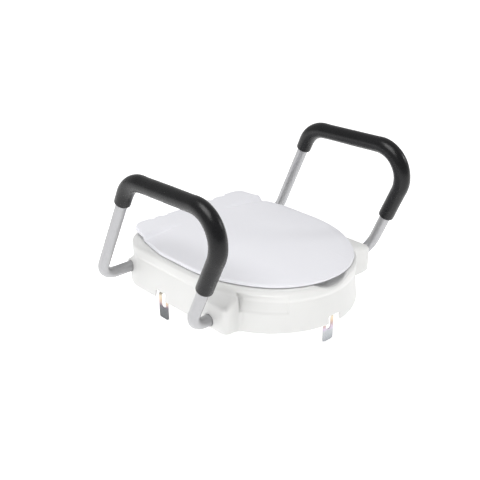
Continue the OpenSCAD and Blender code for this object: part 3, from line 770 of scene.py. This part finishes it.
# ---------------------------------------------------------------- armrests
full_path = arm_path()
tube_points, _ = along(full_path, 2.5)
grip_start = ARM[1] + 0.78 * (ARM[2] - ARM[1])
grip_end = ARM[3] + 0.62 * (ARM[4] - ARM[3])
grip_points, _ = along(between(full_path, grip_start, grip_end), 2.0)
rng = np.random.default_rng(7)
phase = rng.uniform(0, 2 * math.pi, 6)


def grip_radius(ang, i):
    """Slightly uneven outer skin of the slipped-on foam sleeve."""
    lump = 0.10 * np.sin(2 * ang + i * 0.045 + phase[0]) + 0.08 * np.sin(3 * ang - i * 0.07 + phase[1])
    lump = lump + 0.07 * math.sin(i * 0.11 + phase[2]) + 0.04 * math.sin(i * 0.31 + phase[3])
    return swell[i] + lump


turning = np.linalg.norm(np.gradient(np.gradient(grip_points, axis=0), axis=0), axis=1)
turning = np.convolve(np.pad(turning, 12, mode="edge"), np.hanning(25) / np.hanning(25).sum(), "valid")
swell = GRIP_R + 0.45 + 0.75 * turning / turning.max()
last = len(grip_points) - 1
# the sleeve's square-cut end, from its bore out to its skin: distance in from the end, radius
cut_end = ((0.0, GRIP_BORE), (0.0, 12.2), (0.0, 13.6), (0.05, 14.6), (0.35, 15.2), (0.9, 15.55))
rings = [(0, inward, r) for inward, r in cut_end]
rings += [(i, 0.0, grip_radius) for i in range(1, last)]
rings += [(last, -inward, r) for inward, r in reversed(cut_end)]
rings += [(i, 0.0, GRIP_BORE) for i in range(last - 1, 0, -4)]
grip_verts, grip_faces = sweep_ring(grip_points, rings, 56)
tube_verts, tube_faces = tube_mesh(tube_points, TUBE_R, 9.5)
plug = small(plug_sdf, (124, -12, -12), (142, 12, 12), 0.7)

for side, sign in (("right", 1), ("left", -1)):
    body = "armrest_" + side
    flip = np.array([sign, 1.0, 1.0])

    def turned(faces):
        return [tuple(reversed(f)) for f in faces] if sign < 0 else faces

    make("armrest_tube_" + side + "_lacquered", tube_verts * flip, turned(tube_faces),
         LACQUER, body, ("armrest_tube_" + side,))
    grip = make("armrest_grip_" + side + "_foam", grip_verts * flip, turned(grip_faces),
                FOAM, body, ("armrest_grip_" + side,))
    pair = [placed(plug, 0.0, (0, y, SOCKET_Z), sign < 0) for y in (FRONT_LEG, REAR_LEG)]
    fit_part("tube_plugs_" + side + "_ribbed", joined(pair), BLACK, body, ("tube_plugs_" + side,))

# ---------------------------------------------------------------- locking knobs
knob = small(knob_sdf, (-12, -12, 45), (12, 12, 63), 0.55)
for (x, y), end in zip(KNOBS, ("front", "rear")):
    for side in ("left", "right"):
        name = "lock_knob_%s_%s" % (end, side)
        fit_part(name + "_lobed", placed(knob, 0.0, (x, y, 0), side == "left"), BLACK, name, (name,))

# ---------------------------------------------------------------- bowl clamps
bracket = small(bracket_sdf, (-14, -204, -1), (14, -154, 54), 0.6)
grip_pad = small(grip_pad_sdf, (-11, -202, 1), (11, -197, 17), 0.5)
nut = small(nut_sdf, (-7, -7, 43), (7, 7, 50), 0.4)
front_spot, side_spot = (*FRONT_CLAMP, 0), (*SIDE_CLAMP, 0)
to_side = dict(turn=math.pi / 2, shift=(SIDE_CLAMP[0] + FRONT_CLAMP[1], SIDE_CLAMP[1], 0))
for end, where, nut_at in (
        ("front", {}, front_spot),
        ("right", to_side, side_spot),
        ("left", dict(to_side, mirror=True), side_spot)):
    fit_part("clamp_bracket_%s_plated" % end, placed(bracket, **where),
             ZINC_LIT_AND_SHADED[end], "clamp_" + end, ("clamp_bracket_" + end,))
    fit_part("clamp_pad_%s_ribbed" % end, placed(grip_pad, **where),
             PAD, "clamp_" + end, ("clamp_pad_" + end,))
    fit_part("clamp_nut_%s_hex" % end, placed(nut, 0.2, nut_at, end == "left"),
             ZINC_SMALL, "clamp_nut_" + end, ("clamp_nut_" + end,))

bolt = small(bolt_sdf, (-4, -4, 44), (4, 4, 70), 0.35)
washer = small(washer_sdf, (-10, -10, 49), (10, 10, 51), 0.4)
spots = [(front_spot, False), (side_spot, False), (side_spot, True)]
fit_part("clamp_bolts_threaded", joined([placed(bolt, 0.0, p, m) for p, m in spots]),
         ZINC_SMALL, "seat", ("clamp_bolts",))
fit_part("clamp_washers_round", joined([placed(washer, 0.0, p, m) for p, m in spots]),
         ZINC_SMALL, "seat", ("clamp_washers",))

# ---------------------------------------------------------------- rubber feet, buffers and hinge pins
rim_pad = small(rim_pad_sdf, (-13, -13, 43), (13, 13, 48), 0.6)
fit_part("rim_pads_grooved", joined([placed(rim_pad, 0.0, (x, y, 0), m) for x, y in PADS for m in (False, True)]),
         PAD, "seat", ("rim_pads",))
bumper = small(buffer_sdf, (-6, -6, 131), (6, 6, 135), 0.4)
fit_part("lid_buffers_domed", joined([placed(bumper, 0.0, (x, y, 0), m) for x, y in BUFFERS for m in (False, True)]),
         PAD, "lid", ("lid_buffers",))
pin = small(pin_sdf, (57, -5, -5), (102, 5, 5), 0.45)
fit_part("hinge_pins_drawn", joined([placed(pin, 0.0, (0, HINGE_Y, HINGE_Z), m) for m in (False, True)]),
         STEEL, "seat", ("hinge_pins",))

# ---------------------------------------------------------------- floor, light and camera
floor_mesh = bpy.data.meshes.new("floor")
floor_mesh.from_pydata([(-30, -30, 0), (30, -30, 0), (30, 30, 0), (-30, 30, 0)], [], [(0, 1, 2, 3)])
floor = bpy.data.objects.new("floor", floor_mesh)
floor.location.z = -0.0005
bpy.context.scene.collection.objects.link(floor)
floor_mat, _, floor_bsdf = new_material("floor_white", (0.97, 0.97, 0.97), 0.9, spec=0.1)
floor_bsdf.inputs["Emission Color"].default_value = (1.0, 1.0, 1.0, 1.0)
floor_bsdf.inputs["Emission Strength"].default_value = 0.7
floor_mesh.materials.append(floor_mat)

scene = bpy.context.scene
world = bpy.data.worlds.new("studio")
scene.world = world
world.use_nodes = True
background = world.node_tree.nodes["Background"]
background.inputs["Color"].default_value = (1.0, 1.0, 1.0, 1.0)
sky = world.node_tree.nodes.new("ShaderNodeTexCoord")
aim = world.node_tree.nodes.new("ShaderNodeVectorMath")
aim.operation = "DOT_PRODUCT"
aim.inputs[1].default_value = (0.25, 0.9, 0.35)
world.node_tree.links.new(sky.outputs["Generated"], aim.inputs[0])
glow = world.node_tree.nodes.new("ShaderNodeMapRange")     # from the front to the rear: dimmer to brighter
for i, v in enumerate((-0.7, 0.8, 0.36, 0.46)):
    glow.inputs[i + 1].default_value = v
world.node_tree.links.new(aim.outputs["Value"], glow.inputs[0])
world.node_tree.links.new(glow.outputs[0], background.inputs["Strength"])


def softbox(name, location, target, size, watts, color=(1.0, 1.0, 1.0)):
    light = bpy.data.lights.new(name, "AREA")
    light.shape = "RECTANGLE"
    light.size, light.size_y = size
    light.energy = watts
    light.color = color
    obj = bpy.data.objects.new(name, light)
    obj.location = location
    obj.rotation_euler = (Vector(target) - Vector(location)).to_track_quat("-Z", "Y").to_euler()
    scene.collection.objects.link(obj)


softbox("overhead", (-0.75, -0.2, 1.8), (0, 0, 0.1), (1.1, 1.1), 18.8)
softbox("back_panel", (1.35, 1.5, 1.0), (0, 0, 0.12), (1.5, 0.8), 0.5)
softbox("bend_light", (1.5, -0.95, 1.05), (0, 0, 0.25), (0.3, 0.3), 3.5)
softbox("left_fill", (-2.2, 0.2, 0.9), (0, 0, 0.1), (1.4, 1.2), 1.0)

camera_data = bpy.data.cameras.new("camera")
camera = bpy.data.objects.new("camera", camera_data)
scene.collection.objects.link(camera)
camera.matrix_world = Matrix((
    (0.7360, 0.2776, -0.6175, -1.026),
    (-0.6770, 0.3018, -0.6713, -1.076),
    (0.0, 0.9121, 0.4101, 0.806),
    (0, 0, 0, 1)))
camera_data.lens = 62.16
camera_data.sensor_width = 36.0
camera_data.dof.use_dof = False
camera_data.clip_end = 100.0
scene.camera = camera
scene.view_settings.view_transform = "Standard"
scene.view_settings.look = "None"
